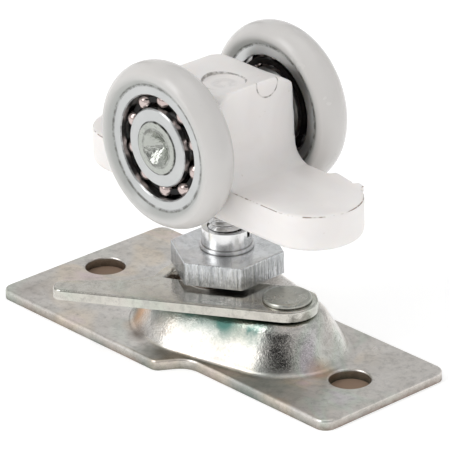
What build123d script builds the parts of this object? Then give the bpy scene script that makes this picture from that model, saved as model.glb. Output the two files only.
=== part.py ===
from build123d import *
import os
from math import cos, pi, radians, sin, tan

# Sliding door roller: a two-wheel nylon carriage hangs a door from its bolt.
# The bolt's button head sits under the dome of a door plate, and a swinging
# latch keeps it there. Lengths are in millimetres and angles in degrees.
# Everything is drawn about the bolt's axis, with z = 0 on the plate's
# underside, and moved by bolt_x when it is written.

# Frame: the origin lies midway between the two screw holes
hole_left = -29.65
hole_right = 27.5
bolt_x = -(hole_left + hole_right) / 2

# Door plate, stamped from sheet
plate_t = 1.65
plate_left = -35.3
plate_right = 35.6
wide_half = 17.45
narrow_half = 12.95
step_outer_x = 2.2
step_inner_x = 5.0
step_outer_r = 1.5
step_inner_r = 4.0
plate_corner_r = 2.0
plate_edge_r = 0.45
hole_r = 3.25
hole_rim_r = 0.35

# Dome raised in the plate: two blended round bosses
dome_top = 8.95
dome_lean = 30.0
big_x = -2.3
big_r = 13.8
small_x = 12.4
small_r = 10.5
foot_margin = 0.5
dome_from_z = 0.5
dome_root_r = 1.2
dome_crown_r = 3.4
slot_half = 3.75
mouth_half = 7.0
mouth_edge_x = -9.3
mouth_depth_x = -5.5
beyond = 20.0

# Latch
latch_t = 1.7
latch_z = 9.0
pivot_x = 14.2
pivot_y = -0.5
latch_angle = 212.2
latch_closed = -14.5
hub_r = 4.8
finger_reach = 36.7
claw_outer_r = 22.9
claw_inner_r = 20.9
claw_end = 23.3
latch_edge_r = 0.35
finger_tip_r = 1.6
finger_high = 5.0
finger_low = 1.4
claw_start = 4.0
claw_tip_r = 0.8
claw_search = 0.1
neck_gap = 0.5

# Latch rivet
rivet_shank_r = 2.2
rivet_head_r = 3.85
rivet_head_t = 0.75
rivet_edge_r = 0.55
rivet_tail_r = 3.1
rivet_tail_t = 0.8

# Hanger bolt, its hexagon and its collar
head_r = 6.0
head_t = 2.75
head_edge_r = 1.6
head_top = 7.25
neck_r = 3.4
hex_z = 11.35
hex_t = 3.7
hex_flats = 16.0
hex_turn = 31.7
hex_corner_r = 0.4
hex_edge_r = 0.25
thread_r = 3.0
thread_lead = 0.6
bolt_top = 29.5
collar_r = 3.94
collar_foot_r = 4.25
collar_foot_t = 0.6
collar_top = 18.5
collar_notch_at = 16.7
collar_notch_half = 0.4
collar_notch_in = 0.6
collar_notch_down = 1.2
collar_gap = 0.08
running_gap = 0.05

# Carriage body
axle_z = 35.7
column_foot_x = 10.2
column_flare_x = 8.4
column_flare_z = 30.9
column_knee_x = 7.6
column_knee_z = 33.0
column_top_x = 6.9
column_y = 7.8
column_crown = 44.2
column_shoulder = 42.35
crown_sag = 0.55
crown_flat_y = 3.4
column_dip = 42.6
wing_reach = 27.4
wing_half = 7.85
wing_low = 23.8
wing_high = 29.75
wing_low_r = 0.9
wing_high_r = 0.5
insert_r = 4.8
insert_low = 24.6
insert_high = 30.2
bolt_bore_r = 3.4
bolt_bore_top = 32.0
plug_mark_r = 3.4
plug_mark_depth = 0.25

# Axle
axle_r = 3.1
axle_rim_r = 4.19
axle_rim_t = 0.18
axle_rim_edge_r = 0.12
dimple_r = 2.83
dimple_floor_r = 0.5
dimple_depth = 1.9

# Wheels, one on each side
wheel_r = 13.3
tread_y = 11.8
tread_r = 3.65
tread_turn = 48.0
lip_edge_r = 1.0
lip_turn = 130.0
lip_foot = 0.25
lip_step = 0.05
ring_inner_y = 9.58
ring_outer_y = 13.96
ring_od = 9.95
ring_id = 8.35
ring_edge = 0.2
inner_ring_od = 6.26
ball_r = 1.5
ball_path_r = 7.3
ball_count = 10
ball_play = 0.04
cage_r_low = 6.85
cage_r_high = 7.75
cage_back = 2.05
cage_front = 0.8
cage_pocket_r = 1.58
spacer_r = 5.6

# Joined solids overlap by one grain, which is also the tolerance of a search
grain = 0.01


def tidy(solid):
    """Return the single solid that an operation left."""
    return solid.solids()[0]


def disc(r, z0, z1, x=0.0, y=0.0):
    """Return an upright cylinder between two heights."""
    return Pos(x, y, z0) * Cylinder(r, z1 - z0, align=(Align.CENTER, Align.CENTER, Align.MIN))


def brick(x0, x1, y0, y1, z0, z1):
    """Return a box between its limits."""
    box = Box(x1 - x0, y1 - y0, z1 - z0, align=(Align.MIN, Align.MIN, Align.MIN))
    return Pos(x0, y0, z0) * box


def across(r, y0, y1, z=axle_z, x=0.0):
    """Return a cylinder that lies along Y between two planes."""
    rod = Cylinder(r, y1 - y0, align=(Align.CENTER, Align.CENTER, Align.MIN))
    return Pos(x, y0, z) * Rot(-90, 0, 0) * rod


def pear(r1, r2, z):
    """Return the outline that wraps the dome's two round bosses."""
    span = small_x - big_x
    lean = (r1 - r2) / span
    side = (1 - lean ** 2) ** 0.5
    a = (big_x + r1 * lean, r1 * side)
    b = (small_x + r2 * lean, r2 * side)
    top = Line(a, b)
    right = ThreePointArc(b, (small_x + r2, 0), (b[0], -b[1]))
    low = Line((b[0], -b[1]), (a[0], -a[1]))
    left = ThreePointArc((a[0], -a[1]), (big_x - r1, 0), a)
    return Pos(0, 0, z) * make_face([top, right, low, left])


def frustum(r1, r2, z0, z1):
    """Return the pear outline raised with the dome's lean."""
    shrink = (z1 - z0) * tan(radians(dome_lean))
    return loft([pear(r1, r2, z0), pear(r1 - shrink, r2 - shrink, z1)])


def plate_outline():
    """Return the flat plate: wide on the left, narrow on the right."""
    half = [
        (plate_left, wide_half),
        (step_outer_x, wide_half),
        (step_inner_x, narrow_half),
        (plate_right, narrow_half),
    ]
    other = [(x, -y) for x, y in reversed(half)]
    face = make_face(Polyline(*half, *other, close=True))
    ends = [v for v in face.vertices() if v.X < 0 or v.X > plate_right - grain]
    face = fillet(ends, plate_corner_r)
    outer = [v for v in face.vertices() if abs(v.X - step_outer_x) < grain]
    face = fillet(outer, step_outer_r)
    inner = [v for v in face.vertices() if abs(v.X - step_inner_x) < grain]
    return fillet(inner, step_inner_r)


def mount_plate():
    """Plate with the raised dome, the bolt's slot and two screw holes."""
    flat = extrude(plate_outline(), plate_t)
    rim = [e for e in flat.edges() if e.center().Z > plate_t - grain]
    flat = fillet([e for e in rim if abs(e.bounding_box().size.Z) < grain], plate_edge_r)
    rise = (plate_t - dome_from_z) * tan(radians(dome_lean))
    dome = frustum(big_r + rise, small_r + rise, dome_from_z, dome_top)
    crown = [e for e in dome.edges() if e.center().Z > dome_top - grain]
    dome = fillet(crown, dome_crown_r)
    plate = flat + dome
    root = [
        e for e in plate.edges()
        if abs(e.center().Z - plate_t) < grain and e.bounding_box().size.Z < grain
        and big_x - big_r - foot_margin < e.center().X < small_x + small_r + foot_margin
        and abs(e.center().Y) < big_r - foot_margin
    ]
    plate = fillet(root, dome_root_r)
    wall = plate_t / cos(radians(dome_lean))
    spread = plate_t * tan(radians(dome_lean)) - wall
    ceiling = dome_top - plate_t
    hollow = frustum(big_r + spread, small_r + spread, 0, ceiling)
    roof = [e for e in hollow.edges() if e.center().Z > ceiling - grain]
    hollow = fillet(roof, dome_crown_r - plate_t)
    plate = plate - hollow
    plate -= brick(-beyond, 0, -slot_half, slot_half, ceiling - 1, dome_top + 1)
    plate -= disc(slot_half, ceiling - 1, dome_top + 1)
    plate -= brick(-beyond, mouth_edge_x, -mouth_half, mouth_half, plate_t, dome_top + 1)
    plate -= brick(-beyond, mouth_depth_x, -mouth_half, mouth_half, plate_t, ceiling)
    for x in (hole_left, hole_right):
        plate -= disc(hole_r, -1, plate_t + 1, x)
    plate = tidy(plate)
    rims = [
        e for e in plate.edges()
        if abs(e.center().Z - plate_t) < grain and abs(e.length - 2 * pi * hole_r) < grain
    ]
    plate = fillet(rims, hole_rim_r)
    plate -= disc(rivet_shank_r, ceiling - 1, dome_top + 1, pivot_x, pivot_y)
    return tidy(plate)


def ring_sector(r0, r1, a0, a1):
    """Return a flat arc-shaped strip between two radii and two angles."""
    def at(r, a):
        return (r * cos(radians(a)), r * sin(radians(a)))
    mid = (a0 + a1) / 2
    outer = ThreePointArc(at(r1, a0), at(r1, mid), at(r1, a1))
    inner = ThreePointArc(at(r0, a1), at(r0, mid), at(r0, a0))
    return make_face([outer, Line(at(r1, a1), at(r0, a1)), inner, Line(at(r0, a0), at(r1, a0))])


def latch_lever():
    """Flat lever: a hub on the rivet, a thumb finger and a claw."""
    arm = make_face(Polyline(
        (0, hub_r), (finger_reach, finger_high), (finger_reach, finger_low), (25.2, -1.6),
        (22.3, -4.0), (20.3, -3.4), (15.3, -2.8), (9.1, -5.2), (0, -hub_r), close=True))
    claw = ring_sector(claw_inner_r, claw_outer_r, -claw_start, -claw_end)
    closed = radians(latch_angle + latch_closed)
    bolt_at = (
        -pivot_x * cos(closed) - pivot_y * sin(closed),
        pivot_x * sin(closed) - pivot_y * cos(closed),
    )
    face = arm + claw + Circle(hub_r)
    face -= Pos(*bolt_at) * Circle(neck_r + neck_gap)
    face = face.faces()[0]
    tip = [v for v in face.vertices() if v.X > finger_reach - 1]
    face = fillet(tip, finger_tip_r)
    slope = tan(radians(-claw_end))
    tip = [v for v in face.vertices() if v.X > pivot_x and abs(v.Y - v.X * slope) < claw_search]
    face = fillet(tip, claw_tip_r)
    lever = extrude(face, latch_t)
    top = [e for e in lever.edges() if e.center().Z > latch_t - grain]
    lever = fillet(top, latch_edge_r)
    lever -= disc(rivet_shank_r + running_gap, -1, latch_t + 1)
    placed = Pos(pivot_x, pivot_y, latch_z) * Rot(0, 0, latch_angle) * lever
    return tidy(placed)


def latch_rivet():
    """Rivet with a low domed head above the latch and a clinched tail."""
    latch_top = latch_z + latch_t
    ceiling = dome_top - plate_t
    head = disc(rivet_head_r, latch_top + running_gap, latch_top + rivet_head_t, pivot_x, pivot_y)
    rim = [e for e in head.edges() if e.center().Z > latch_top + rivet_head_t - grain]
    head = fillet(rim, rivet_edge_r)
    shank = disc(rivet_shank_r, ceiling - rivet_tail_t, latch_top + rivet_head_t / 2, pivot_x, pivot_y)
    tail = disc(rivet_tail_r, ceiling - rivet_tail_t, ceiling, pivot_x, pivot_y)
    return tidy(head + shank + tail)


def hanger_bolt():
    """Bolt with a button head below, a plain neck and a thread above."""
    head = disc(head_r, head_top - head_t, head_top)
    low = [e for e in head.edges() if e.center().Z < head_top - head_t + grain]
    head = fillet(low, head_edge_r)
    neck = disc(neck_r, head_top - grain, hex_z + hex_t)
    shank = disc(thread_r, hex_z + hex_t - grain, bolt_top)
    tip = [e for e in shank.edges() if e.center().Z > bolt_top - grain]
    shank = chamfer(tip, thread_lead)
    return tidy(head + neck + shank)


def adjusting_hex():
    """Thick blanked hexagon staked on the bolt's neck."""
    blank = Rot(0, 0, hex_turn) * RegularPolygon(hex_flats / 2, 6, major_radius=False)
    blank = fillet(blank.vertices(), hex_corner_r)
    block = extrude(Pos(0, 0, hex_z) * blank, hex_t)
    top = [e for e in block.edges() if e.center().Z > hex_z + hex_t - grain]
    block = fillet(top, hex_edge_r)
    return tidy(block - disc(neck_r, hex_z - 1, hex_z + hex_t + 1))


def collar_sleeve():
    """Turned collar that rests on the hexagon around the thread."""
    foot = hex_z + hex_t + running_gap
    sleeve = disc(collar_r, foot, collar_top) + disc(collar_foot_r, foot, foot + collar_foot_t)
    sleeve -= disc(thread_r + collar_gap, foot - 1, collar_top + 1)
    notch = brick(
        collar_r - collar_notch_in, collar_r + 1, -collar_notch_half, collar_notch_half,
        collar_top - collar_notch_down, collar_top + 1)
    return tidy(sleeve - Rot(0, 0, collar_notch_at) * notch)


def mirrored(point):
    """Return a sketch point's twin on the other side of the middle."""
    return (-point[0], point[1])


def carriage_wings():
    """Return the flat bar that ends in the two round bumper wings."""
    straight = wing_reach - wing_half
    ends = Pos(straight, 0) * Circle(wing_half) + Pos(-straight, 0) * Circle(wing_half)
    plan = (Rectangle(2 * straight, 2 * wing_half) + ends).faces()[0]
    wing = extrude(Pos(0, 0, wing_low) * plan, wing_high - wing_low)
    low = [e for e in wing.edges() if e.center().Z < wing_low + grain]
    wing = fillet(low, wing_low_r)
    high = [e for e in wing.edges() if e.center().Z > wing_high - grain]
    return fillet(high, wing_high_r)


def carriage_column():
    """Return the column: flared at its foot, domed and dished on top."""
    top = (column_top_x, column_crown + 1)
    knee = (column_knee_x, column_knee_z)
    flare = (column_flare_x, column_flare_z)
    foot = (column_foot_x, wing_high)
    buried = (column_foot_x, (wing_low + wing_high) / 2)
    column = extrude(Plane.XZ * make_face([
        Line(top, knee),
        ThreePointArc(knee, flare, foot),
        Polyline(foot, buried, mirrored(buried), mirrored(foot)),
        ThreePointArc(mirrored(foot), mirrored(flare), mirrored(knee)),
        Polyline(mirrored(knee), mirrored(top), top),
    ]), column_y, both=True)
    edge = (crown_flat_y, column_crown)
    bend = ((crown_flat_y + column_y) / 2, column_crown - crown_sag)
    shoulder = (column_y, column_shoulder)
    base = (column_y, 0)
    column &= extrude(Plane.YZ * make_face([
        ThreePointArc(edge, bend, shoulder),
        Polyline(shoulder, base, mirrored(base), mirrored(shoulder)),
        ThreePointArc(mirrored(shoulder), mirrored(bend), mirrored(edge)),
        Line(mirrored(edge), edge),
    ]), 2 * column_foot_x, both=True)
    dip_r = column_top_x ** 2 / (2 * (column_crown - column_dip))
    dish = Pos(0, 0, column_dip + dip_r) * Rot(90, 0, 0) * Cylinder(dip_r, 2 * beyond)
    return tidy(column - dish)


def carriage_body():
    """Nylon block: a column between the wheels and two rounded bumper wings."""
    body = carriage_wings() + carriage_column()
    body -= disc(bolt_bore_r, wing_low - 1, bolt_bore_top)
    body -= disc(insert_r, insert_low, insert_high)
    body -= across(axle_r, -beyond, beyond)
    body -= disc(plug_mark_r, column_dip - plug_mark_depth, column_crown)
    return tidy(body)


def threaded_insert():
    """Steel insert moulded into the carriage, in which the bolt turns."""
    sleeve = disc(insert_r, insert_low, insert_high)
    return tidy(sleeve - disc(thread_r + running_gap, insert_low - 1, insert_high + 1))


def axle_pin():
    """Axle through the carriage and both bearings, peened at each end."""
    pin = across(axle_r, -ring_outer_y, ring_outer_y)
    face_y = ring_outer_y + axle_rim_t
    rim = across(axle_rim_r, ring_outer_y, face_y)
    edge = [e for e in rim.edges() if e.center().Y > face_y - grain]
    rim = fillet(edge, axle_rim_edge_r)
    cone = Cone(dimple_floor_r, dimple_r, dimple_depth, align=(Align.CENTER, Align.CENTER, Align.MAX))
    dimple = Pos(0, face_y, axle_z) * Rot(-90, 0, 0) * cone
    for side in (-1, 1):
        turn = Rot(0, 0, 0) if side > 0 else Rot(0, 0, 180)
        pin += turn * rim
        pin -= turn * dimple
    return tidy(pin)


def spun(profile, side):
    """Spin a closed profile of (radius, y) points about the axle."""
    points = [(r, side * y) for r, y in profile]
    face = make_face(Polyline(*points, close=True))
    return Pos(0, 0, axle_z) * revolve(face, Axis.Y)


def tyre(side):
    """Nylon tyre with a full round tread, moulded on the outer ring."""
    tube_r = wheel_r - tread_r
    lean = radians(tread_turn)
    lip_r = tube_r + (tread_r - lip_edge_r) * cos(lean)
    lip_out = (tread_r - lip_edge_r) * sin(lean)

    def at(r, out):
        return (r, side * (tread_y + out))

    def on_tread(turn):
        return at(tube_r + tread_r * cos(turn), tread_r * sin(turn))

    def on_lip(turn, face):
        return at(lip_r + lip_edge_r * cos(turn), face * (lip_out + lip_edge_r * sin(turn)))

    edges = [ThreePointArc(on_tread(-lean), (wheel_r, side * tread_y), on_tread(lean))]
    for face, ring_y in ((-1, ring_inner_y), (1, ring_outer_y)):
        reach = ring_y - tread_y
        last = on_lip(radians(lip_turn), face)
        edges.append(ThreePointArc(on_tread(face * lean), on_lip(pi / 2, face), last))
        foot = at(ring_od + lip_foot, reach + face * lip_step)
        edges.append(Polyline(last, foot, at(ring_od, reach)))
    edges.append(Line(at(ring_od, ring_outer_y - tread_y), at(ring_od, ring_inner_y - tread_y)))
    return Pos(0, 0, axle_z) * revolve(make_face(edges), Axis.Y)


def groove(side):
    """Return the ball track that both rings share."""
    track = Pos(ball_path_r, side * (ring_inner_y + ring_outer_y) / 2) * Circle(ball_r + ball_play)
    return Pos(0, 0, axle_z) * revolve(track, Axis.Y)


def outer_ring(side):
    """Outer bearing ring."""
    ring = spun([
        (ring_id, ring_inner_y), (ring_od, ring_inner_y), (ring_od, ring_outer_y),
        (ring_id + ring_edge, ring_outer_y), (ring_id, ring_outer_y - ring_edge),
    ], side)
    return tidy(ring - groove(side))


def inner_ring(side):
    """Inner bearing ring, clamped by the axle's peened end."""
    ring = spun([
        (axle_r, ring_inner_y), (inner_ring_od, ring_inner_y),
        (inner_ring_od, ring_outer_y - ring_edge), (inner_ring_od - ring_edge, ring_outer_y),
        (axle_r, ring_outer_y),
    ], side)
    return tidy(ring - groove(side))


def ball_places(side):
    """Return the centres of the balls."""
    y = side * (ring_inner_y + ring_outer_y) / 2
    step = 360 / ball_count
    turns = [radians(step * (i + 0.5)) for i in range(ball_count)]
    return [Pos(ball_path_r * cos(t), y, axle_z + ball_path_r * sin(t)) for t in turns]


def balls(side):
    """Bearing balls, as separate solids in one group."""
    return Compound(children=[place * Sphere(ball_r) for place in ball_places(side)])


def ball_cage(side):
    """Thin ring with a pocket for each ball."""
    mid = (ring_inner_y + ring_outer_y) / 2
    cage = spun([
        (cage_r_low, mid - cage_back), (cage_r_high, mid - cage_back),
        (cage_r_high, mid + cage_front), (cage_r_low, mid + cage_front),
    ], side)
    for place in ball_places(side):
        cage -= place * Sphere(cage_pocket_r)
    return tidy(cage)


def spacer_washer(side):
    """Spacer between the carriage and the inner ring."""
    return tidy(spun([
        (axle_r, column_y), (spacer_r, column_y), (spacer_r, ring_inner_y), (axle_r, ring_inner_y),
    ], side))


parts = {
    "mount_plate": mount_plate(),
    "latch_lever": latch_lever(),
    "latch_rivet": latch_rivet(),
    "hanger_bolt": hanger_bolt(),
    "adjusting_hex": adjusting_hex(),
    "collar_sleeve": collar_sleeve(),
    "carriage_body": carriage_body(),
    "threaded_insert": threaded_insert(),
    "axle_pin": axle_pin(),
}
for name, side in (("front", -1), ("rear", 1)):
    parts[name + "_tyre"] = tyre(side)
    parts[name + "_outer_ring"] = outer_ring(side)
    parts[name + "_inner_ring"] = inner_ring(side)
    parts[name + "_balls"] = balls(side)
    parts[name + "_ball_cage"] = ball_cage(side)
    parts[name + "_spacer_washer"] = spacer_washer(side)

os.makedirs("parts", exist_ok=True)
for name, shape in parts.items():
    export_step(Pos(bolt_x, 0, 0) * shape, "parts/" + name + ".step")
print(len(parts), "nodes written")
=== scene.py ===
import bmesh
import bpy
from math import cos, pi, radians, sin
from mathutils import Matrix, Vector


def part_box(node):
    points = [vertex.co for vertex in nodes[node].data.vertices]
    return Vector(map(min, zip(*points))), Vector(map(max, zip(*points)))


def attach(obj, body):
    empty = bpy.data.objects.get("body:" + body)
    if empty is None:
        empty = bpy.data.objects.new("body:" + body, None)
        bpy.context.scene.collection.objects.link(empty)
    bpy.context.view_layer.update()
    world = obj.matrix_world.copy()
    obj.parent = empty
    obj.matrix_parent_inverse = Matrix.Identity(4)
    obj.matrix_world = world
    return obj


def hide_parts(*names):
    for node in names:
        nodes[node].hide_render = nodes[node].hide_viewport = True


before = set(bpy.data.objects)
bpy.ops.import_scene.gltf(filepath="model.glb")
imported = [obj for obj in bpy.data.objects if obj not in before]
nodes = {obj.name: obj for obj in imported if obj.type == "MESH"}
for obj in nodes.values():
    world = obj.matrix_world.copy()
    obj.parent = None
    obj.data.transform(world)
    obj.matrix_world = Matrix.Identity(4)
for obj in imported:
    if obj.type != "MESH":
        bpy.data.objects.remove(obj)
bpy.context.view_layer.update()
mm = 0.001
boltX = 1.075 * mm   # the bolt's axis, measured from the frame's origin
print("frame loaded")


viewCamera = {"azimuth": 48.051, "elevation": 24.4, "roll": -1.047, "distance": 597.8,
              "target": (0.783, -0.076, 18.426), "lens": 307.256, "sensor": 36.0}


def addCamera(v):
    a, e, r = radians(v["azimuth"]), radians(v["elevation"]), radians(v["roll"])
    back = Vector((sin(a) * cos(e), -cos(a) * cos(e), sin(e)))
    level = Vector((cos(a), sin(a), 0))
    rise = back.cross(level)
    right = level * cos(r) + rise * sin(r)
    turn = Matrix((right, back.cross(right), back)).transposed().to_4x4()
    data = bpy.data.cameras.new("camera")
    data.lens = v["lens"]
    data.sensor_width = v["sensor"]
    data.clip_start = 0.01
    cam = bpy.data.objects.new("camera", data)
    place = (Vector(v["target"]) + back * v["distance"]) * mm
    cam.matrix_world = Matrix.Translation(place) @ turn
    bpy.context.collection.objects.link(cam)
    bpy.context.scene.camera = cam


addCamera(viewCamera)
bpy.context.scene.view_settings.view_transform = "Standard"


def linear(r, g, b):
    def one(c):
        c = c / 255
        return c / 12.92 if c <= 0.04045 else ((c + 0.055) / 1.055) ** 2.4
    return (one(r), one(g), one(b), 1.0)


class Nodes:
    # a small hand for wiring one node tree
    def __init__(self, tree):
        self.tree = tree

    def add(self, kind, **values):
        n = self.tree.nodes.new(kind)
        for key, value in values.items():
            setattr(n, key, value)
        return n

    def join(self, a, b):
        self.tree.links.new(a, b)

    def math(self, op, a, b=None, clamp=False):
        n = self.add("ShaderNodeMath", operation=op, use_clamp=clamp)
        for i, value in enumerate((a, b)):
            if value is None:
                continue
            if isinstance(value, (int, float)):
                n.inputs[i].default_value = value
            else:
                self.join(value, n.inputs[i])
        return n.outputs[0]

    def noise(self, coords, scale, detail=3.0, rough=0.55, distort=0.0):
        n = self.add("ShaderNodeTexNoise")
        n.inputs["Scale"].default_value = scale
        n.inputs["Detail"].default_value = detail
        n.inputs["Roughness"].default_value = rough
        n.inputs["Distortion"].default_value = distort
        self.join(coords, n.inputs["Vector"])
        return n.outputs["Fac"]

    def ramp(self, fac, stops, smooth=False):
        n = self.add("ShaderNodeValToRGB")
        bar = n.color_ramp
        bar.interpolation = "EASE" if smooth else "LINEAR"
        while len(bar.elements) < len(stops):
            bar.elements.new(0.5)
        for spot, (place, colour) in zip(bar.elements, stops):
            spot.position = place
            grey = isinstance(colour, (int, float))
            spot.color = (colour, colour, colour, 1) if grey else colour
        self.join(fac, n.inputs["Fac"])
        return n.outputs["Color"]

    def mix(self, fac, a, b, blend="MIX"):
        n = self.add("ShaderNodeMix", data_type="RGBA", blend_type=blend)
        for place, value in ((0, fac), (6, a), (7, b)):
            if isinstance(value, (int, float, tuple)):
                n.inputs[place].default_value = value
            else:
                self.join(value, n.inputs[place])
        return n.outputs[2]

    def fade(self, value, near, far, amount=1.0):
        # amount up to the near distance, nothing past the far one, both in millimetres
        node = self.add("ShaderNodeMapRange")
        limits = {"From Min": near * mm, "From Max": far * mm, "To Min": amount, "To Max": 0.0}
        for label, number in limits.items():
            node.inputs[label].default_value = number
        self.join(value, node.inputs["Value"])
        return node.outputs["Result"]

    def split(self, coords):
        n = self.add("ShaderNodeSeparateXYZ")
        self.join(coords, n.inputs[0])
        return n.outputs

    def distance(self, coords, point):
        n = self.add("ShaderNodeVectorMath", operation="DISTANCE")
        self.join(coords, n.inputs[0])
        n.inputs[1].default_value = point
        return n.outputs["Value"]

    def stretch(self, coords, scale=(1, 1, 1), turn=(0, 0, 0), shift=(0, 0, 0)):
        n = self.add("ShaderNodeMapping")
        n.inputs["Scale"].default_value = scale
        n.inputs["Rotation"].default_value = [radians(t) for t in turn]
        n.inputs["Location"].default_value = shift
        self.join(coords, n.inputs["Vector"])
        return n.outputs["Vector"]


floorLook = {"size": 6.0, "colour": 0.72, "glow": 0.5, "under": 0.02}


def addFloor(v):
    bm = bmesh.new()
    bmesh.ops.create_grid(bm, x_segments=4, y_segments=4, size=v["size"] / 2)
    bmesh.ops.translate(bm, vec=(0, 0, -v["under"] * mm), verts=bm.verts)
    mesh = bpy.data.meshes.new("floor")
    bm.to_mesh(mesh)
    bm.free()
    floor = bpy.data.objects.new("floor", mesh)
    bpy.context.collection.objects.link(floor)
    paper = bpy.data.materials.new("paleFloor")
    paper.use_nodes = True
    shader = paper.node_tree.nodes["Principled BSDF"]
    shader.inputs["Base Color"].default_value = (v["colour"], v["colour"], v["colour"], 1)
    shader.inputs["Roughness"].default_value = 1.0
    shader.inputs["Specular IOR Level"].default_value = 0.0
    shader.inputs["Emission Color"].default_value = (1, 1, 1, 1)
    shader.inputs["Emission Strength"].default_value = v["glow"]
    mesh.materials.append(paper)


addFloor(floorLook)


def addShadeCard():
    # painted shadow: a brown card right under the plate standing in for the shade beneath it, seen only
    # through its holes
    low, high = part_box("mount_plate")
    bm = bmesh.new()
    bmesh.ops.create_grid(bm, x_segments=1, y_segments=1, size=0.5)
    bmesh.ops.scale(bm, vec=(high.x - low.x - 3 * mm, 12 * mm, 1), verts=bm.verts)
    bmesh.ops.translate(bm, vec=((low.x + high.x) / 2, 0, 0.03 * mm), verts=bm.verts)
    mesh = bpy.data.meshes.new("shadeCard")
    bm.to_mesh(mesh)
    bm.free()
    card = bpy.data.objects.new("shadeCard", mesh)
    bpy.context.collection.objects.link(card)
    shadowPaint = bpy.data.materials.new("paintedShadow")
    shadowPaint.use_nodes = True
    shader = shadowPaint.node_tree.nodes["Principled BSDF"]
    shader.inputs["Base Color"].default_value = linear(140, 118, 100)
    shader.inputs["Roughness"].default_value = 1.0
    mesh.materials.append(shadowPaint)


addShadeCard()
lamps = {
    "keySoft": {"at": (-0.35, -0.75, 0.95), "size": 0.5, "power": 3.0, "mirrored": True},
    "fillSoft": {"at": (0.85, -0.15, 0.60), "size": 0.3, "power": 1.0, "mirrored": False},
    "topSoft": {"at": (0.1, 0.25, 1.2), "size": 0.8, "power": 1.5, "mirrored": True},
}


def addLamp(name, v):
    data = bpy.data.lights.new(name, "AREA")
    data.shape = "SQUARE"
    data.size = v["size"]
    data.energy = v["power"]
    lamp = bpy.data.objects.new(name, data)
    lamp.location = v["at"]
    aim = Vector((0, 0, 0.02)) - Vector(v["at"])
    lamp.rotation_euler = aim.to_track_quat("-Z", "Y").to_euler()
    lamp.visible_glossy = v["mirrored"]
    bpy.context.collection.objects.link(lamp)


for name, values in lamps.items():
    addLamp(name, values)

studio = {"ceiling": 0.66, "wall": 0.86, "strip": 0.10, "background": 1.0, "stripScale": 1.1,
          "darkAt": (0.52, -0.64, 1.68), "darkWide": 0.42, "dark": 0.005, "darkFlat": 3.0,
          "windowAt": (-0.30, -0.83, 0.43), "windowWide": 0.31, "window": 2.2}


def addStudio(v):
    # a bright tent with darker strips in it, so that the metal has something to reflect
    world = bpy.data.worlds.new("studio")
    bpy.context.scene.world = world
    world.use_nodes = True
    tree = world.node_tree
    tree.nodes.clear()
    n = Nodes(tree)
    out = n.add("ShaderNodeOutputWorld")
    coords = n.add("ShaderNodeTexCoord").outputs["Generated"]
    levels = [(0.0, v["wall"] * 0.8), (0.1, v["wall"]), (0.75, v["ceiling"])]
    height = n.ramp(n.split(coords)["Z"], levels, True)
    bands = n.add("ShaderNodeTexWave", wave_type="BANDS", bands_direction="X")
    bands.inputs["Scale"].default_value = v["stripScale"]
    bands.inputs["Distortion"].default_value = 1.2
    bands.inputs["Detail"].default_value = 1.0
    bands.inputs["Detail Scale"].default_value = 0.8
    n.join(coords, bands.inputs["Vector"])
    strip = n.ramp(bands.outputs["Fac"], [(0.02, v["strip"]), (0.12, 1.0)], True)
    lit = n.mix(1.0, height, strip, "MULTIPLY")
    far = n.distance(n.stretch(coords, (1, 1, v["darkFlat"])), v["darkAt"])
    wide = v["darkWide"]
    doorway = n.ramp(far, [(wide * 0.85, v["dark"]), (wide * 1.25, 1.0)], True)
    lit = n.mix(1.0, lit, doorway, "MULTIPLY")
    near = n.distance(coords, v["windowAt"])
    wide = v["windowWide"]
    window = n.ramp(near, [(wide * 0.75, 1.0), (wide * 1.1, 0.0)], True)
    pane = (v["window"], v["window"], v["window"], 1)
    lit = n.mix(window, lit, pane)
    seen = n.add("ShaderNodeLightPath").outputs["Is Camera Ray"]
    white = (v["background"], v["background"], v["background"], 1)
    both = n.mix(seen, lit, white)
    glow = n.add("ShaderNodeBackground")
    n.join(both, glow.inputs["Color"])
    n.join(glow.outputs[0], out.inputs["Surface"])


addStudio(studio)
print("studio ready")


def newGroup(name, inputs, outputs):
    group = bpy.data.node_groups.new(name, "ShaderNodeTree")
    for label, kind, value in inputs:
        socket = group.interface.new_socket(label, in_out="INPUT", socket_type=kind)
        socket.default_value = value
    for label, kind in outputs:
        group.interface.new_socket(label, in_out="OUTPUT", socket_type=kind)
    n = Nodes(group)
    return group, n, n.add("NodeGroupInput"), n.add("NodeGroupOutput")


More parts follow.
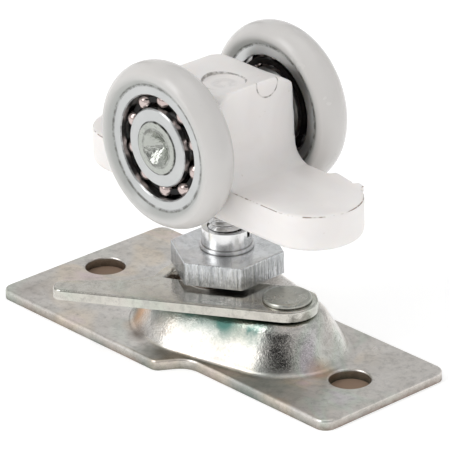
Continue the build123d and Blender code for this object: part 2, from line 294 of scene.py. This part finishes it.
def buildZincSkin():
    # plated sheet: cloudy tint, faint rainbow, orange peel and fine scratches
    group, n, given, out = newGroup(
        "zincSkin",
        [("Light", "NodeSocketColor", (0.8, 0.8, 0.8, 1)),
         ("Dull", "NodeSocketColor", (0.5, 0.5, 0.5, 1)),
         ("Rainbow", "NodeSocketFloat", 0.2), ("Polish", "NodeSocketFloat", 0.25),
         ("Unevenness", "NodeSocketFloat", 0.15)],
        [("Color", "NodeSocketColor"), ("Roughness", "NodeSocketFloat"),
         ("Height", "NodeSocketFloat")])
    coords = n.add("ShaderNodeTexCoord").outputs["Object"]
    cloud = n.noise(coords, 120, 5, 0.65, 0.5)
    clouded = n.ramp(cloud, [(0.35, 0), (0.68, 1)])
    tint = n.mix(clouded, given.outputs["Light"], given.outputs["Dull"])
    swirl = n.noise(n.stretch(coords, (1, 1.6, 1), shift=(0.3, 0.1, 0)), 45, 2, 0.5, 1.0)
    rainbow = n.ramp(swirl, [
        (0.30, linear(240, 214, 222)), (0.40, linear(242, 228, 206)), (0.48, linear(228, 228, 228)),
        (0.56, linear(228, 228, 228)), (0.64, linear(206, 226, 218)),
        (0.74, linear(220, 214, 236))])
    tinted = n.mix(given.outputs["Rainbow"], tint, rainbow, "MULTIPLY")
    speck = n.noise(coords, 1500, 3, 0.7)
    pits = n.ramp(speck, [(0.30, 0.6), (0.44, 1.0)])
    rubbed = n.ramp(n.noise(coords, 700, 4, 0.7), [(0.34, 0.62), (0.52, 1.0)])
    worn = n.mix(0.5, tinted, rubbed, "MULTIPLY")
    n.join(n.mix(0.45, worn, pits, "MULTIPLY"), out.inputs["Color"])
    grain = n.noise(coords, 420, 3, 0.6)
    swing = n.math("MULTIPLY", n.math("SUBTRACT", grain, 0.5), given.outputs["Unevenness"])
    haze = n.math("MULTIPLY", n.math("SUBTRACT", cloud, 0.5), given.outputs["Unevenness"])
    rough = n.math("ADD", given.outputs["Polish"], n.math("ADD", swing, haze), True)
    n.join(rough, out.inputs["Roughness"])
    scratch = n.noise(n.stretch(coords, (1, 14, 1), (0, 0, 24)), 260, 2, 0.7)
    fine = n.math("MULTIPLY", scratch, 0.35)
    height = n.math("ADD", n.math("ADD", grain, fine), n.math("MULTIPLY", speck, 0.3))
    n.join(height, out.inputs["Height"])
    return group


def buildCornerShade():
    # painted shade in corners and between touching parts, where ambient occlusion is low, broken up by noise
    group, n, given, out = newGroup(
        "cornerShade",
        [("Color", "NodeSocketColor", (0.8, 0.8, 0.8, 1)),
         ("Dirt", "NodeSocketColor", (0.1, 0.08, 0.06, 1)),
         ("Amount", "NodeSocketFloat", 0.5), ("Reach", "NodeSocketFloat", 0.8)],
        [("Color", "NodeSocketColor")])
    near = n.add("ShaderNodeAmbientOcclusion", samples=6)
    n.join(n.math("MULTIPLY", given.outputs["Reach"], mm), near.inputs["Distance"])
    coords = n.add("ShaderNodeTexCoord").outputs["Object"]
    patch = n.noise(coords, 600, 3, 0.6)
    shade = n.ramp(near.outputs["AO"], [(0.25, 1), (0.8, 0)])
    strength = n.math("MULTIPLY", shade, given.outputs["Amount"])
    mask = n.math("MULTIPLY", strength, n.math("ADD", patch, 0.5), True)
    n.join(n.mix(mask, given.outputs["Color"], given.outputs["Dirt"]), out.inputs["Color"])
    return group


def buildGrainLines():
    # turned or sheared lines, fine along one axis of the coordinates that come in
    group, n, given, out = newGroup(
        "grainLines",
        [("Vector", "NodeSocketVector", (0, 0, 0)), ("Fineness", "NodeSocketFloat", 900.0)],
        [("Lines", "NodeSocketFloat")])
    tex = n.add("ShaderNodeTexNoise")
    tex.inputs["Detail"].default_value = 4.0
    tex.inputs["Roughness"].default_value = 0.65
    n.join(given.outputs["Vector"], tex.inputs["Vector"])
    n.join(given.outputs["Fineness"], tex.inputs["Scale"])
    n.join(n.ramp(tex.outputs["Fac"], [(0.3, 0), (0.7, 1)]), out.inputs["Lines"])
    return group


def buildDirtRing():
    # a broken ring of dirt, at one distance from an axis or a point
    group, n, given, out = newGroup(
        "dirtRing",
        [("Color", "NodeSocketColor", (0.8, 0.8, 0.8, 1)),
         ("Dirt", "NodeSocketColor", (0.1, 0.08, 0.06, 1)),
         ("Distance", "NodeSocketFloat", 0.0), ("At", "NodeSocketFloat", 1.0),
         ("Half", "NodeSocketFloat", 0.2), ("Amount", "NodeSocketFloat", 0.5)],
        [("Color", "NodeSocketColor")])
    coords = n.add("ShaderNodeTexCoord").outputs["Object"]
    broken = n.ramp(n.noise(coords, 700, 3, 0.7), [(0.40, 0.2), (0.58, 1.0)])
    distance = n.math("DIVIDE", given.outputs["Distance"], mm)
    off = n.math("ABSOLUTE", n.math("SUBTRACT", distance, given.outputs["At"]))
    share = n.math("DIVIDE", off, given.outputs["Half"])
    edge = n.add("ShaderNodeMapRange")
    for label, number in (("From Min", 0.4), ("From Max", 1.0), ("To Min", 1.0), ("To Max", 0.0)):
        edge.inputs[label].default_value = number
    n.join(share, edge.inputs["Value"])
    line = n.math("MULTIPLY", edge.outputs["Result"], given.outputs["Amount"])
    line = n.math("MULTIPLY", line, broken)
    n.join(n.mix(line, given.outputs["Color"], given.outputs["Dirt"]), out.inputs["Color"])
    return group


dirtRing = buildDirtRing()
zincSkin = buildZincSkin()
cornerShade = buildCornerShade()
grainLines = buildGrainLines()


def newMaterial(name, rough=0.4, metal=0.0):
    m = bpy.data.materials.new(name)
    m.use_nodes = True
    n = Nodes(m.node_tree)
    shader = m.node_tree.nodes["Principled BSDF"]
    shader.inputs["Roughness"].default_value = rough
    shader.inputs["Metallic"].default_value = metal
    return m, n, shader


def useGroup(n, group, **values):
    g = n.add("ShaderNodeGroup", node_tree=group)
    for label, value in values.items():
        if isinstance(value, (int, float, tuple)):
            g.inputs[label].default_value = value
        else:
            n.join(value, g.inputs[label])
    return g


def bumpInto(n, shader, height, strength, distance):
    bump = n.add("ShaderNodeBump")
    bump.inputs["Strength"].default_value = strength
    bump.inputs["Distance"].default_value = distance * mm
    n.join(height, bump.inputs["Height"])
    n.join(bump.outputs["Normal"], shader.inputs["Normal"])


def zincMaterial(name, v):
    m, n, shader = newMaterial(name, metal=1.0)
    skin = useGroup(n, zincSkin, Light=linear(*v["light"]), Dull=linear(*v["dull"]),
                    Rainbow=v["rainbow"], Polish=v["polish"], Unevenness=v["uneven"])
    coords = n.add("ShaderNodeTexCoord").outputs["Object"]
    # two colours for the painted corner shade, chosen patch by patch
    either = n.ramp(n.noise(coords, 60, 2, 0.5), [(0.42, 0), (0.56, 1)])
    shadeBlend = n.mix(either, linear(*v["shadeToneAlt"]), linear(*v["shadeTone"]))
    colour = skin.outputs["Color"]
    blotch = n.ramp(n.noise(coords, 330, 4, 0.6), [(0.32, 0.55), (0.55, 1.0)])
    # tinted patches, and the teal ones high on the dome as painted shade and reflection under the latch
    for place, spread, tint, amount in v.get("stainsAndShade", []):
        away = n.distance(coords, Vector(place) * mm + Vector((boltX, 0, 0)))
        patch = n.fade(away, spread * 0.35, spread, amount)
        colour = n.mix(n.math("MULTIPLY", patch, blotch), colour, linear(*tint))
    # painted shade in corners and under overhangs, such as the dome's front under the latch
    shadeTone = useGroup(n, cornerShade, Color=colour, Dirt=shadeBlend, Amount=v["shadeAmount"], Reach=v["reach"])
    n.join(shadeTone.outputs["Color"], shader.inputs["Base Color"])
    # the dome, above the flat sheet, is glossier and has a fine orange peel
    lift = n.add("ShaderNodeMapRange")
    lift.inputs["From Min"].default_value = v["glossFrom"] * mm
    lift.inputs["From Max"].default_value = v["glossFull"] * mm
    lift.inputs["To Max"].default_value = v["domeGloss"]
    n.join(n.split(coords)["Z"], lift.inputs["Value"])
    rough = n.math("SUBTRACT", skin.outputs["Roughness"], lift.outputs["Result"], True)
    n.join(rough, shader.inputs["Roughness"])
    peel = n.math("MULTIPLY", lift.outputs["Result"], v["peel"])
    peel = n.math("MULTIPLY", n.noise(coords, 3000, 2, 0.6), peel)
    # torn metal on the blanked edges
    normal = n.split(n.add("ShaderNodeNewGeometry").outputs["Normal"])
    side = n.ramp(n.math("ABSOLUTE", normal["Z"]), [(0.15, 1), (0.35, 0)])
    torn = n.noise(n.stretch(coords, (1, 1, 0.35)), 1300, 3, 0.7)
    torn = n.math("MULTIPLY", n.math("MULTIPLY", side, torn), v["sheared"])
    relief = n.math("ADD", n.math("ADD", skin.outputs["Height"], torn), peel)
    bumpInto(n, shader, relief, v["bump"], 0.06)
    return m


# green, brown and soot colour the painted shade in corners
green, brown, deepShade = (44, 70, 60), (96, 70, 46), (52, 44, 38)
teal, amber, umber = (66, 98, 92), (196, 146, 96), (120, 104, 92)
# each patch: place, reach, colour, strength; the four teal ones at 8.4 mm are painted shade and reflection
# under the latch
plateStainsAndShade = [
    ((-3.5, -10.4, 8.4), 4.6, teal, 1.0), ((2.5, -10.4, 8.4), 4.6, teal, 1.0),
    ((8.5, -9.3, 8.4), 5.2, teal, 1.0), ((14.0, -7.6, 8.4), 4.4, teal, 1.0),
    ((18.8, -11.0, 1.65), 6.5, teal, 0.4), ((24.4, -9.6, 1.65), 4.0, teal, 0.25),
    ((-9.2, -11.0, 4.5), 4.0, amber, 0.8), ((-6.4, -12.9, 1.65), 2.5, umber, 0.7),
    ((-0.8, -15.8, 1.65), 3.5, teal, 0.35), ((23.1, -1.7, 1.65), 3.0, amber, 0.45),
    ((-30.0, -13.6, 1.65), 5.0, umber, 0.35)]
# each finish gives two colours and a strength for its painted corner shade
plateZinc = zincMaterial("plateZinc", {
    "light": (240, 236, 231), "dull": (218, 213, 206), "rainbow": 0.5,
    "polish": 0.33, "uneven": 0.2,
    "shadeToneAlt": brown, "shadeTone": green, "shadeAmount": 1.4, "reach": 3.2, "sheared": 1.0, "bump": 0.6,
    "domeGloss": 0.17, "peel": 6.0, "glossFrom": 1.75, "glossFull": 3.2,
    "stainsAndShade": plateStainsAndShade})
latchZinc = zincMaterial("latchZinc", {
    "light": (222, 219, 211), "dull": (200, 196, 187), "rainbow": 0.4,
    "polish": 0.17, "uneven": 0.14,
    "shadeToneAlt": deepShade, "shadeTone": deepShade, "shadeAmount": 0.2, "reach": 0.6, "sheared": 5.0, "bump": 0.3,
    "domeGloss": 0.0, "peel": 0.0, "glossFrom": 1.75, "glossFull": 3.2})
rivetZinc = zincMaterial("rivetZinc", {
    "light": (196, 196, 188), "dull": (172, 172, 164), "rainbow": 0.15,
    "polish": 0.3, "uneven": 0.15,
    "shadeToneAlt": deepShade, "shadeTone": deepShade, "shadeAmount": 0.9, "reach": 0.6, "sheared": 0.2, "bump": 0.2,
    "domeGloss": 0.0, "peel": 0.0, "glossFrom": 1.75, "glossFull": 3.2})
boltZinc = zincMaterial("boltZinc", {
    "light": (236, 236, 236), "dull": (214, 214, 214), "rainbow": 0.1,
    "polish": 0.16, "uneven": 0.12,
    "shadeToneAlt": deepShade, "shadeTone": deepShade, "shadeAmount": 1.0, "reach": 0.6, "sheared": 0.1, "bump": 0.1,
    "domeGloss": 0.0, "peel": 0.0, "glossFrom": 1.75, "glossFull": 3.2})
washerZinc = zincMaterial("washerZinc", {
    "light": (200, 200, 198), "dull": (170, 170, 168), "rainbow": 0.1,
    "polish": 0.35, "uneven": 0.2,
    "shadeToneAlt": deepShade, "shadeTone": deepShade, "shadeAmount": 0.6, "reach": 0.6, "sheared": 0.3, "bump": 0.1,
    "domeGloss": 0.0, "peel": 0.0, "glossFrom": 1.75, "glossFull": 3.2})


def sheared(name, v):
    # zinc over blanked edges: fine upright lines on the sides
    m, n, shader = newMaterial(name, metal=1.0)
    skin = useGroup(n, zincSkin, Light=linear(*v["light"]), Dull=linear(*v["dull"]),
                    Rainbow=0.12, Polish=v["polish"], Unevenness=0.15)
    coords = n.add("ShaderNodeTexCoord").outputs["Object"]
    lines = useGroup(n, grainLines, Vector=n.stretch(coords, (1, 1, 0.06)), Fineness=v["fineness"])
    normal = n.split(n.add("ShaderNodeNewGeometry").outputs["Normal"])
    side = n.math("SUBTRACT", 1.0, n.math("ABSOLUTE", normal["Z"]), True)
    cut = n.math("MULTIPLY", lines.outputs["Lines"], side)
    lined = n.mix(n.math("MULTIPLY", cut, v["contrast"]), skin.outputs["Color"], linear(86, 92, 98))
    # painted shade in the hexagon's corners and where it meets other parts
    shadeTone = useGroup(n, cornerShade, Color=lined, Dirt=linear(60, 50, 40), Amount=0.5, Reach=0.6)
    n.join(shadeTone.outputs["Color"], shader.inputs["Base Color"])
    n.join(skin.outputs["Roughness"], shader.inputs["Roughness"])
    peel = n.math("MULTIPLY", skin.outputs["Height"], 0.3)
    height = n.math("ADD", peel, n.math("MULTIPLY", cut, v["depth"]))
    bumpInto(n, shader, height, 0.6, 0.08)
    return m


hexZinc = sheared("hexZinc", {"light": (238, 240, 242), "dull": (214, 216, 218), "polish": 0.24,
                              "fineness": 2200.0, "depth": 3.2, "contrast": 0.6})


def radiusFrom(n, coords, axis, height=0.0):
    # distance from the bolt's axis (Z) or the wheels' axle (Y)
    centred = n.split(n.stretch(coords, shift=(-boltX, 0, -height * mm)))
    flat = n.add("ShaderNodeCombineXYZ")
    n.join(centred["X"], flat.inputs[0])
    n.join(centred["Z" if axis == "Y" else "Y"], flat.inputs[1])
    radius = n.add("ShaderNodeVectorMath", operation="LENGTH")
    n.join(flat.outputs[0], radius.inputs[0])
    return radius.outputs["Value"], centred[axis]


def dirtRings(n, distance, colour, rings, tint):
    # rings of dirt, each (distance, half width, strength)
    for at, half, amount in rings:
        ring = useGroup(n, dirtRing, Color=colour, Dirt=linear(*tint), Distance=distance,
                        At=at, Half=half, Amount=amount)
        colour = ring.outputs["Color"]
    return colour


def turned(name, v):
    # ground or turned steel: rings about the axle
    m, n, shader = newMaterial(name, rough=v["polish"], metal=1.0)
    coords = n.add("ShaderNodeTexCoord").outputs["Object"]
    radius, along = radiusFrom(n, coords, v["axis"], v["height"])
    ringCoords = n.add("ShaderNodeCombineXYZ")
    n.join(radius, ringCoords.inputs[0])
    n.join(along, ringCoords.inputs[1])
    lines = useGroup(n, grainLines, Vector=ringCoords.outputs[0], Fineness=v["fineness"])
    cloud = n.noise(coords, 220, 3, 0.6)
    base = n.mix(cloud, linear(*v["light"]), linear(*v["dull"]))
    base = dirtRings(n, radius, base, v.get("rings", []), (38, 34, 30))
    # painted shade in corners and between touching parts
    shadeTone = useGroup(n, cornerShade, Color=base, Dirt=linear(36, 34, 32), Amount=v["shadeAmount"],
                    Reach=0.7)
    n.join(shadeTone.outputs["Color"], shader.inputs["Base Color"])
    swing = n.math("MULTIPLY", n.math("SUBTRACT", cloud, 0.5), 0.12)
    n.join(n.math("ADD", swing, v["polish"], True), shader.inputs["Roughness"])
    dents = n.math("MULTIPLY", n.noise(coords, 520, 3, 0.6), v["dents"])
    bumpInto(n, shader, n.math("ADD", lines.outputs["Lines"], dents), v["bump"], 0.01)
    return m


axleAt = 35.7   # height of the axle, in millimetres
# grime in each steel sets the strength of its painted corner shade
raceSteel = turned("raceSteel", {
    "axis": "Y", "height": axleAt, "light": (206, 207, 206), "dull": (184, 186, 186),
    "polish": 0.32, "fineness": 1800.0, "shadeAmount": 0.8, "bump": 0.35, "dents": 0.5,
    "rings": [(9.87, 0.16, 0.6), (8.42, 0.12, 0.6), (4.22, 0.16, 0.9), (6.2, 0.1, 0.4)]})
axleSteel = turned("axleSteel", {
    "axis": "Y", "height": axleAt, "light": (198, 200, 194), "dull": (158, 162, 156),
    "polish": 0.26, "fineness": 500.0, "shadeAmount": 0.6, "bump": 0.8, "dents": 60.0,
    "rings": [(4.15, 0.16, 0.9), (3.0, 0.3, 0.55)]})
collarSteel = turned("collarSteel", {
    "axis": "Z", "height": 0.0, "light": (240, 240, 240), "dull": (222, 222, 222),
    "polish": 0.19, "fineness": 900.0, "shadeAmount": 0.9, "bump": 0.04, "dents": 0.0})
ballChrome = turned("ballChrome", {
    "axis": "Y", "height": axleAt, "light": (214, 200, 196), "dull": (186, 168, 164),
    "polish": 0.12, "fineness": 300.0, "shadeAmount": 0.5, "bump": 0.03, "dents": 0.0})
insertSteel = turned("insertSteel", {
    "axis": "Z", "height": 0.0, "light": (190, 188, 182), "dull": (150, 148, 142),
    "polish": 0.35, "fineness": 900.0, "shadeAmount": 0.5, "bump": 0.3, "dents": 0.5})


def moulded(name, v):
    # moulded nylon: faint flow clouds, specks and handling marks
    m, n, shader = newMaterial(name)
    coords = n.add("ShaderNodeTexCoord").outputs["Object"]
    cloud = n.noise(coords, v["cloud"], 3, 0.55, 0.8)
    base = n.mix(n.ramp(cloud, [(0.35, 0), (0.7, 1)]), linear(*v["light"]), linear(*v["dull"]))
    speck = n.ramp(n.noise(coords, 900, 2, 0.6), [(0.70, 0), (0.76, 1)])
    specked = n.mix(n.math("MULTIPLY", speck, v["specks"]), base, linear(*v["speck"]))
    if v["parting"]:
        # soiled, broken parting line just under the wings' top edge
        place = n.split(coords)
        off = n.math("ABSOLUTE", n.math("SUBTRACT", place["Z"], v["partingAt"] * mm))
        wander = n.math("MULTIPLY", n.noise(coords, 350, 2, 0.6), v["partingWide"] * mm)
        line = n.math("LESS_THAN", off, wander)
        flattened = n.stretch(coords, (1, 1, 0.1))
        broken = n.ramp(n.noise(flattened, 320, 3, 0.7), [(0.46, 0), (0.54, 1)])
        mark = n.math("MULTIPLY", n.math("MULTIPLY", line, broken), v["parting"])
        specked = n.mix(mark, specked, linear(128, 106, 88))
        # outline of the plug recess on top
        radius, along = radiusFrom(n, coords, "Z")
        marked = dirtRings(n, radius, specked, v["plugRings"], (112, 106, 100))
        onTop = n.math("GREATER_THAN", along, v["plugLow"] * mm)
        specked = n.mix(onTop, specked, marked)
        # curved flow mark near the top of the column
        bend = n.distance(coords, Vector(v["flowAt"]) * mm + Vector((boltX, 0, 0)))
        marked = dirtRings(n, bend, specked, v["flowRing"], (124, 116, 108))
        beside = n.math("GREATER_THAN", place["X"], v["flowFrom"] * mm + boltX)
        specked = n.mix(beside, specked, marked)
    if "rings" in v:
        # shaded slope and dirt where the tyre meets the outer ring
        radius, along = radiusFrom(n, coords, "Y", axleAt)
        slope = n.fade(radius, v["slopeFrom"], v["slopeTo"], v["shade"])
        specked = n.mix(slope, specked, linear(*v["shadeTint"]))
        specked = dirtRings(n, radius, specked, v["rings"], (66, 62, 54))
    # painted shade in corners and between touching parts
    shadeTone = useGroup(n, cornerShade, Color=specked, Dirt=linear(*v["shadeTone"]), Amount=v["shadeAmount"],
                    Reach=v["reach"])
    n.join(shadeTone.outputs["Color"], shader.inputs["Base Color"])
    rub = n.noise(coords, 160, 3, 0.6)
    n.join(n.math("ADD", n.math("MULTIPLY", n.math("SUBTRACT", rub, 0.5), 0.25), v["polish"], True),
           shader.inputs["Roughness"])
    shader.inputs["Specular IOR Level"].default_value = v.get("shine", 0.5)
    shader.inputs["Subsurface Weight"].default_value = v["milk"]
    shader.inputs["Subsurface Scale"].default_value = 0.0015
    shader.inputs["Subsurface Radius"].default_value = (1.0, 0.85, 0.7)
    ripple = n.math("MULTIPLY", n.noise(coords, 1400, 2, 0.5), 0.2)
    waves = n.math("ADD", n.noise(coords, 130, 2, 0.5), ripple)
    bumpInto(n, shader, waves, v["bump"], 0.25)
    return m


# each nylon gives a colour and a strength for its painted corner shade
bodyNylon = moulded("bodyNylon", {
    "light": (242, 239, 237), "dull": (233, 229, 227), "cloud": 70,
    "specks": 0.25, "speck": (170, 150, 120),
    "shadeTone": (150, 140, 125), "shadeAmount": 0.35, "reach": 1.2, "polish": 0.38, "milk": 0.45, "bump": 0.2,
    "parting": 0.85, "partingAt": 29.52, "partingWide": 0.12,
    "plugRings": [(3.4, 0.22, 0.75), (1.3, 0.9, 0.16)], "plugLow": 41.0,
    "flowAt": (7.0, 2.5, 43.6), "flowRing": [(2.15, 0.16, 0.9)], "flowFrom": 6.6})
tyreNylon = moulded("tyreNylon", {
    "light": (212, 209, 206), "dull": (204, 202, 200), "cloud": 60,
    "specks": 0.1, "speck": (150, 150, 150),
    "shadeTone": (80, 78, 74), "shadeAmount": 0.9, "reach": 0.5, "polish": 0.22, "milk": 0.0, "bump": 0.03,
    "parting": 0.0, "rings": [(10.05, 0.24, 0.75)], "shade": 0.75,
    "shadeTint": (158, 163, 160), "slopeFrom": 10.1, "slopeTo": 12.0})
cageBlack = moulded("cageBlack", {
    "light": (15, 13, 12), "dull": (8, 7, 7), "cloud": 200, "specks": 0.2, "speck": (60, 60, 60),
    "shadeTone": (3, 3, 3), "shadeAmount": 0.5, "reach": 0.8, "polish": 0.3, "milk": 0.0, "bump": 0.6,
    "parting": 0.0, "shine": 0.18})


def paint(obj, material):
    obj.data.materials.clear()
    obj.data.materials.append(material)


finishes = {
    "mount_plate": plateZinc, "latch_lever": latchZinc, "latch_rivet": rivetZinc,
    "hanger_bolt": boltZinc,
    "adjusting_hex": hexZinc, "collar_sleeve": collarSteel, "carriage_body": bodyNylon,
    "threaded_insert": insertSteel, "axle_pin": axleSteel,
}
for side in ("front", "rear"):
    finishes[side + "_tyre"] = tyreNylon
    finishes[side + "_outer_ring"] = raceSteel
    finishes[side + "_inner_ring"] = raceSteel
    finishes[side + "_balls"] = ballChrome
    finishes[side + "_ball_cage"] = cageBlack
    finishes[side + "_spacer_washer"] = washerZinc
for name, material in finishes.items():
    paint(nodes[name], material)
print("finishes placed")


def finishPiece(name, bm, material, body, replaced, smooth=True):
    mesh = bpy.data.meshes.new(name)
    bmesh.ops.recalc_face_normals(bm, faces=bm.faces)
    bm.to_mesh(mesh)
    bm.free()
    for face in mesh.polygons:
        face.use_smooth = smooth
    mesh.materials.append(material)
    piece = bpy.data.objects.new(name, mesh)
    bpy.context.collection.objects.link(piece)
    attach(piece, body)
    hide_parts(*replaced)


def strand(bm, points):
    # one open line of edges, from points in millimetres
    spots = [bm.verts.new(Vector(p) * mm) for p in points]
    return spots, [bm.edges.new(pair) for pair in zip(spots, spots[1:])]


bolt = {"weld": 0.004, "crest": 3.0, "root": 2.46, "pitch": 1.0, "threadLow": 15.3, "turns": 13, "steps": 40,
        "neck": 3.4, "head": 6.0, "headLow": 4.5, "headTop": 7.25, "neckTop": 15.05}


def buildBolt(v):
    bm = bmesh.new()
    # thread: one pitch of the profile, wound upwards
    r0, r1, p, z = v["root"], v["crest"], v["pitch"], v["threadLow"]
    profile = [(r0, 0), (r0, 0.12 * p), (r1, 0.44 * p), (r1, 0.56 * p), (r0, 0.88 * p), (r0, p)]
    spots, lines = strand(bm, [(r, 0, z + h) for r, h in profile])
    bmesh.ops.spin(bm, geom=spots + lines, cent=(0, 0, 0), axis=(0, 0, 1),
                   angle=2 * pi * v["turns"],
                   dvec=(0, 0, p * mm / v["steps"]), steps=v["steps"] * v["turns"])
    bmesh.ops.remove_doubles(bm, verts=bm.verts, dist=v["weld"] * mm)
    # head and neck, turned about the same axis
    low, top, r = v["headLow"], v["headTop"], v["head"]
    outline = [(0, low), (r - 1.7, low), (r - 1.0, low + 0.22), (r - 0.35, low + 0.8), (r, low + 1.6),
               (r, top - 0.15), (r - 0.15, top), (v["neck"], top), (v["neck"], v["neckTop"]),
               (v["root"], v["neckTop"] + 0.4)]
    spots, lines = strand(bm, [(x, 0, y) for x, y in outline])
    bmesh.ops.spin(bm, geom=spots + lines, cent=(0, 0, 0), axis=(0, 0, 1), angle=2 * pi,
                   steps=64, use_merge=True)
    bmesh.ops.remove_doubles(bm, verts=bm.verts, dist=v["weld"] * mm)
    bmesh.ops.translate(bm, vec=(boltX, 0, 0), verts=bm.verts)
    finishPiece("threadedBolt", bm, boltZinc, "bolt", ["hanger_bolt"])


buildBolt(bolt)

body = {"weld": 0.002, "voxel": 0.24, "rounds": 4,
        "flash": [((16.2, 7.9, 29.3), (1.9, 1.5, 0.9)), ((18.0, 7.8, 29.3), (3.2, 1.3, 0.8)),
                  ((21.3, 7.7, 29.3), (1.7, 1.5, 0.9)), ((22.6, 7.2, 29.35), (0.9, 0.7, 0.6))],
        "flashTurn": -10.0}


def buildBody(v):
    # the block with the soft edges that moulding leaves
    bm = bmesh.new()
    bm.from_mesh(nodes["carriage_body"].data)
    bmesh.ops.remove_doubles(bm, verts=bm.verts, dist=v["weld"] * mm)
    turn = Matrix.Rotation(radians(v["flashTurn"]), 3, "Z")
    for place, size in v["flash"]:
        nib = bmesh.ops.create_cube(bm, size=1.0)["verts"]
        bmesh.ops.scale(bm, vec=Vector(size) * mm, verts=nib)
        bmesh.ops.rotate(bm, cent=(0, 0, 0), matrix=turn, verts=nib)
        bmesh.ops.translate(bm, vec=Vector(place) * mm + Vector((boltX, 0, 0)), verts=nib)
    mesh = bpy.data.meshes.new("carriageBlock")
    bm.to_mesh(mesh)
    bm.free()
    draft = bpy.data.objects.new("draftBlock", mesh)
    bpy.context.collection.objects.link(draft)
    remesh = draft.modifiers.new("remesh", "REMESH")
    remesh.mode = "VOXEL"
    remesh.voxel_size = v["voxel"] * mm
    soften = draft.modifiers.new("soften", "SMOOTH")
    soften.factor = 0.5
    soften.iterations = v["rounds"]
    ready = draft.evaluated_get(bpy.context.evaluated_depsgraph_get())
    done = bmesh.new()
    done.from_mesh(bpy.data.meshes.new_from_object(ready))
    bpy.data.objects.remove(draft)
    finishPiece("carriageBlock", done, bodyNylon, "carriage", ["carriage_body"])


buildBody(body)
print("pieces built")
